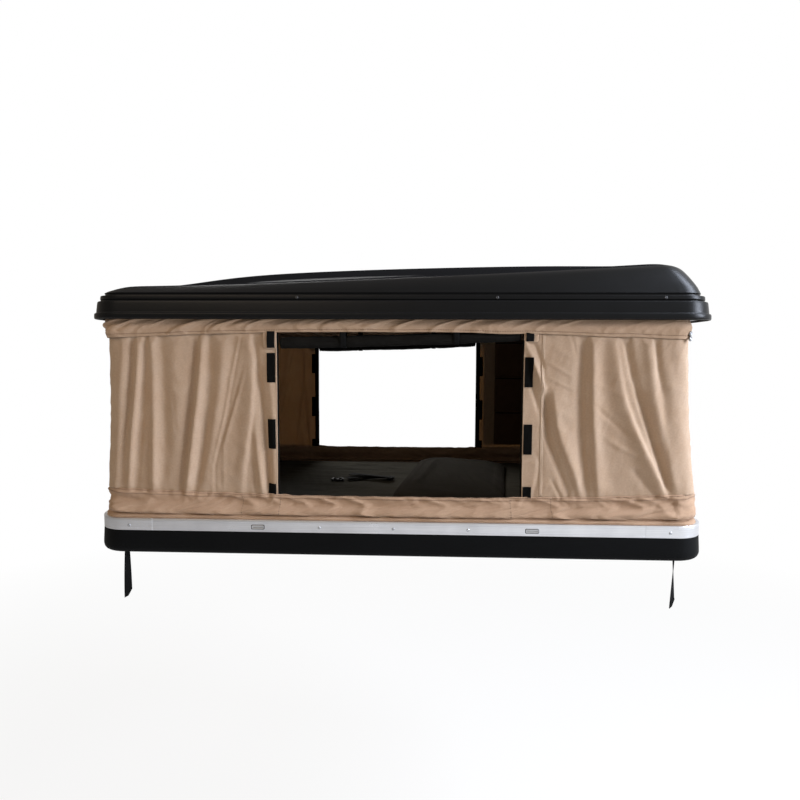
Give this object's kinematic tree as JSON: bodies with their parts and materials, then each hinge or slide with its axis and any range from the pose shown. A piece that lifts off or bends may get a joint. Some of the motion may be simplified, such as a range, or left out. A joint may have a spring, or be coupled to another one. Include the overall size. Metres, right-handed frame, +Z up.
{
  "type": "hard shell roof top tent",
  "caption": "Roof top tent with a low moulded tray and lid, fabric walls with a doorway on each long side, and scissor lifts at both ends.",
  "frame": {"origin": "middle of the plane in which the two mounting rails rest on the vehicle's roof bars", "axes": "+X along the vehicle from the low nose of the lid to its tall end, +Y across it towards the far doorway, +Z up"},
  "size_m": [2.05, 1.22, 1.1745],
  "materials": {
    "arm_a_low": "satin",
    "arm_a_tall": "satin",
    "arm_b_low": "satin",
    "arm_b_tall": "satin",
    "base_band": "satin",
    "base_bracket_low": "satin",
    "base_bracket_tall": "satin",
    "base_channel_low": "satin",
    "base_channel_tall": "satin",
    "base_roller_low": "satin",
    "base_roller_tall": "satin",
    "base_shell": "satin",
    "canvas_end_low": "matte",
    "canvas_end_tall": "matte",
    "canvas_far_left": "matte",
    "canvas_far_right": "matte",
    "canvas_near_left": "matte",
    "canvas_near_right": "matte",
    "canvas_skirt": "matte",
    "canvas_valance": "matte",
    "centre_pin_low": "satin",
    "centre_pin_tall": "satin",
    "cross_member_low": "satin",
    "cross_member_tall": "satin",
    "door_roll_far": "matte",
    "door_roll_far_tie_left": "matte",
    "door_roll_far_tie_right": "matte",
    "door_roll_near": "matte",
    "door_roll_near_tie_left": "matte",
    "door_roll_near_tie_right": "matte",
    "floor_panel": "matte",
    "folded_cover": "matte",
    "lid_bracket_low": "satin",
    "lid_bracket_tall": "satin",
    "lid_channel_low": "satin",
    "lid_channel_tall": "satin",
    "lid_frame": "satin",
    "lid_roller_low": "satin",
    "lid_roller_tall": "satin",
    "lid_shell": "satin",
    "lip_seal": "matte",
    "mattress": "matte",
    "organiser": "matte",
    "rail_far": "satin",
    "rail_near": "satin",
    "roof_liner": "matte",
    "strap_far_low": "matte",
    "strap_far_tall": "matte",
    "strap_near_low": "matte",
    "strap_near_tall": "matte",
    "strut_bracket_low": "satin",
    "strut_bracket_tall": "satin",
    "strut_cylinder_low": "satin",
    "strut_cylinder_tall": "satin",
    "strut_rod_low": "satin",
    "strut_rod_tall": "satin",
    "strut_stud_low": "satin",
    "strut_stud_tall": "satin",
    "webbing_buckle": "matte",
    "webbing_heap": "matte"
  },
  "bodies": {
    "base": {"rail_near": "rail_near", "rail_far": "rail_far", "base_shell": "base_shell", "base_band": "base_band", "floor_panel": "floor_panel", "mattress": "mattress", "folded_cover": "folded_cover", "webbing_heap": "webbing_heap", "webbing_buckle": "webbing_buckle", "canvas_skirt": "canvas_skirt", "canvas_near_left": "canvas_near_left", "canvas_near_right": "canvas_near_right", "canvas_far_left": "canvas_far_left", "canvas_far_right": "canvas_far_right", "canvas_end_low": "canvas_end_low", "canvas_end_tall": "canvas_end_tall", "organiser": "organiser", "strap_near_low": "strap_near_low", "strap_near_tall": "strap_near_tall", "strap_far_low": "strap_far_low", "strap_far_tall": "strap_far_tall", "base_bracket_low": "base_bracket_low", "base_bracket_tall": "base_bracket_tall", "base_channel_low": "base_channel_low", "base_channel_tall": "base_channel_tall", "strut_bracket_low": "strut_bracket_low", "strut_bracket_tall": "strut_bracket_tall"},
    "lid": {"lid_shell": "lid_shell", "lid_frame": "lid_frame", "lip_seal": "lip_seal", "roof_liner": "roof_liner", "cross_member_low": "cross_member_low", "cross_member_tall": "cross_member_tall", "lid_bracket_low": "lid_bracket_low", "lid_bracket_tall": "lid_bracket_tall", "lid_channel_low": "lid_channel_low", "lid_channel_tall": "lid_channel_tall", "canvas_valance": "canvas_valance", "door_roll_near": "door_roll_near", "door_roll_near_tie_left": "door_roll_near_tie_left", "door_roll_near_tie_right": "door_roll_near_tie_right", "door_roll_far": "door_roll_far", "door_roll_far_tie_left": "door_roll_far_tie_left", "door_roll_far_tie_right": "door_roll_far_tie_right"},
    "arm_a_low": {"arm_a_low": "arm_a_low", "centre_pin_low": "centre_pin_low", "strut_stud_low": "strut_stud_low"},
    "arm_b_low": {"arm_b_low": "arm_b_low"},
    "strut_cylinder_low": {"strut_cylinder_low": "strut_cylinder_low"},
    "strut_rod_low": {"strut_rod_low": "strut_rod_low"},
    "base_roller_low": {"base_roller_low": "base_roller_low"},
    "lid_roller_low": {"lid_roller_low": "lid_roller_low"},
    "arm_a_tall": {"arm_a_tall": "arm_a_tall", "centre_pin_tall": "centre_pin_tall", "strut_stud_tall": "strut_stud_tall"},
    "arm_b_tall": {"arm_b_tall": "arm_b_tall"},
    "strut_cylinder_tall": {"strut_cylinder_tall": "strut_cylinder_tall"},
    "strut_rod_tall": {"strut_rod_tall": "strut_rod_tall"},
    "base_roller_tall": {"base_roller_tall": "base_roller_tall"},
    "lid_roller_tall": {"lid_roller_tall": "lid_roller_tall"}
  },
  "joints": [
    {"name": "lift", "type": "hinge", "parent": "base", "child": "arm_a_low", "pos_m": [-0.904, -0.49, 0.1069], "axis": [1, 0, 0], "range_deg": [-41.6, 0], "stiffness_Nm_per_rad": 100, "springref_deg": 137.51, "deforming": ["canvas_skirt", "canvas_near_left", "canvas_near_right", "canvas_far_left", "canvas_far_right", "canvas_end_low", "canvas_end_tall", "organiser", "canvas_valance", "door_roll_near", "door_roll_near_tie_left", "door_roll_near_tie_right", "door_roll_far", "door_roll_far_tie_left", "door_roll_far_tie_right"]},
    {"name": "arm_a_turn_tall", "type": "hinge", "parent": "base", "child": "arm_a_tall", "pos_m": [0.904, -0.49, 0.1069], "axis": [1, 0, 0], "range_deg": [-41.6, 0]},
    {"name": "arm_b_turn_low", "type": "hinge", "parent": "arm_a_low", "child": "arm_b_low", "pos_m": [-0.911, -0.12114, 0.44445], "axis": [1, 0, 0], "range_deg": [0, 83.2]},
    {"name": "arm_b_turn_tall", "type": "hinge", "parent": "arm_a_tall", "child": "arm_b_tall", "pos_m": [0.911, -0.12114, 0.44445], "axis": [1, 0, 0], "range_deg": [0, 83.2]},
    {"name": "lid_level", "type": "hinge", "parent": "arm_b_low", "child": "lid", "pos_m": [-0.911, -0.49, 0.782], "axis": [1, 0, 0], "range_deg": [-41.6, 0]},
    {"name": "strut_turn_low", "type": "hinge", "parent": "base", "child": "strut_cylinder_low", "pos_m": [-0.8595, 0.3, 0.1069], "axis": [1, 0, 0], "range_deg": [0, 15.18]},
    {"name": "strut_slide_low", "type": "slide", "parent": "strut_cylinder_low", "child": "strut_rod_low", "axis": [0, -0.9633, 0.2685], "range_m": [-0.0887, 0]},
    {"name": "strut_turn_tall", "type": "hinge", "parent": "base", "child": "strut_cylinder_tall", "pos_m": [0.8595, 0.3, 0.1069], "axis": [1, 0, 0], "range_deg": [0, 15.18]},
    {"name": "strut_slide_tall", "type": "slide", "parent": "strut_cylinder_tall", "child": "strut_rod_tall", "axis": [0, -0.9633, 0.2685], "range_m": [-0.0887, 0]},
    {"name": "base_roller_turn_low", "type": "hinge", "parent": "arm_b_low", "child": "base_roller_low", "pos_m": [-0.9205, 0.24773, 0.1069], "axis": [1, 0, 0], "continuous": true},
    {"name": "lid_roller_turn_low", "type": "hinge", "parent": "arm_a_low", "child": "lid_roller_low", "pos_m": [-0.8915, 0.24773, 0.782], "axis": [1, 0, 0], "continuous": true},
    {"name": "base_roller_turn_tall", "type": "hinge", "parent": "arm_b_tall", "child": "base_roller_tall", "pos_m": [0.9205, 0.24773, 0.1069], "axis": [1, 0, 0], "continuous": true},
    {"name": "lid_roller_turn_tall", "type": "hinge", "parent": "arm_a_tall", "child": "lid_roller_tall", "pos_m": [0.8915, 0.24773, 0.782], "axis": [1, 0, 0], "continuous": true}
  ],
  "couplings": [
    {"joint": "arm_a_turn_tall", "follows": "lift", "ratio": 1},
    {"joint": "arm_b_turn_low", "follows": "lift", "ratio": -2},
    {"joint": "arm_b_turn_tall", "follows": "lift", "ratio": -2},
    {"joint": "lid_level", "follows": "lift", "ratio": 1},
    {"joint": "strut_turn_low", "follows": "lift", "ratio": -0.36477},
    {"joint": "strut_slide_low", "follows": "lift", "m_per_rad": 0.12204},
    {"joint": "strut_turn_tall", "follows": "lift", "ratio": -0.36477},
    {"joint": "strut_slide_tall", "follows": "lift", "m_per_rad": 0.12204}
  ]
}
